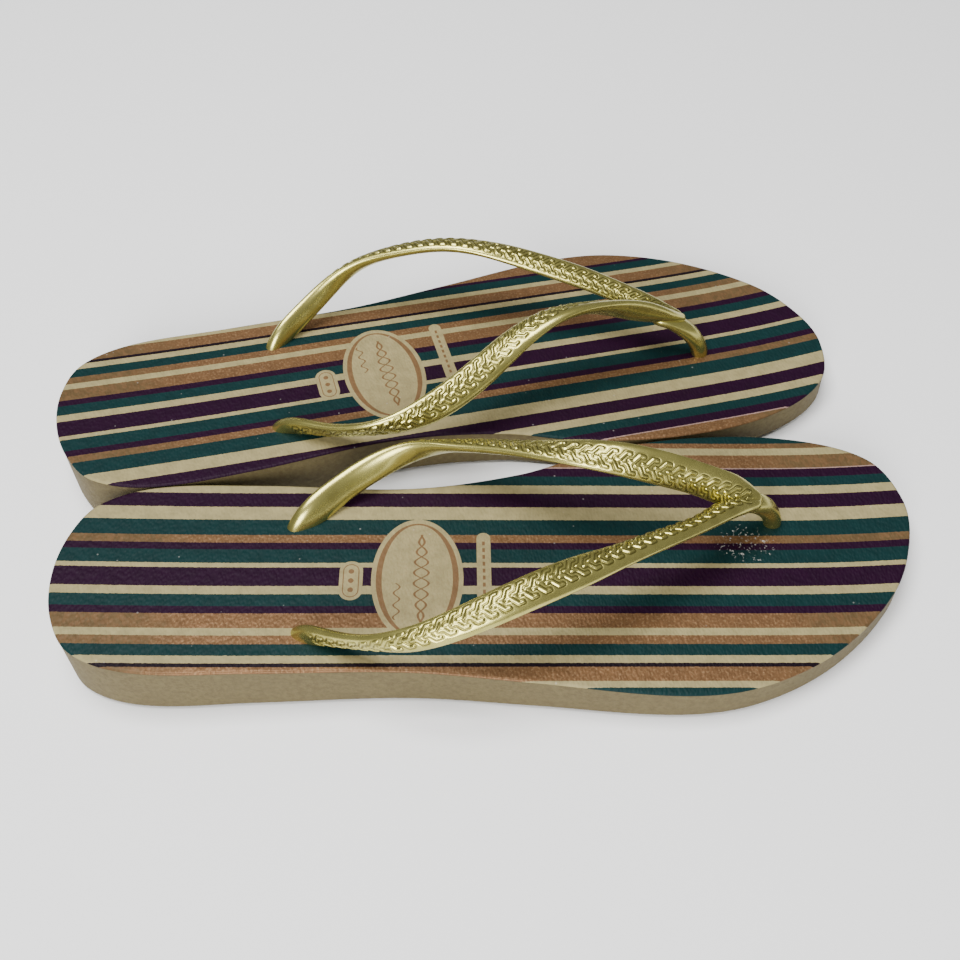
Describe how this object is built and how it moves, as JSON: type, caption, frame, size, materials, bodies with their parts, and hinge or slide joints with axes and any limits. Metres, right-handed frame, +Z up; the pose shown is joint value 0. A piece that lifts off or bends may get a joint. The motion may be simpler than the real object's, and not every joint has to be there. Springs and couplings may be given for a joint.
{
  "type": "pair of flip flops",
  "caption": "Pair of thong sandals: flat rubber soles with a printed footbed, and one-piece moulded Y straps held by plugs under each sole.",
  "frame": {"origin": "on the ground, under the middle of the pair's bounding box", "axes": "+X from heel to toe of the right shoe, +Y from the right shoe towards the left shoe, +Z up"},
  "size_m": [0.2808, 0.1944, 0.0487],
  "materials": {
    "sole_rubber": "matte, fine speckled beige rubber",
    "footbed_film": "matte printed stripes in cream, teal, purple and metallic copper",
    "strap_vinyl": "satin metallic olive gold"
  },
  "bodies": {
    "right_flip_flop": {"right_sole": "sole_rubber", "right_footbed_print": "footbed_film", "right_strap": "strap_vinyl"},
    "left_flip_flop": {"left_sole": "sole_rubber", "left_footbed_print": "footbed_film", "left_strap": "strap_vinyl"}
  },
  "joints": [
    {"name": "left_lift", "type": "slide", "parent": "right_flip_flop", "child": "left_flip_flop", "axis": [0, 0, 1], "range_m": [0, 0.12]}
  ]
}
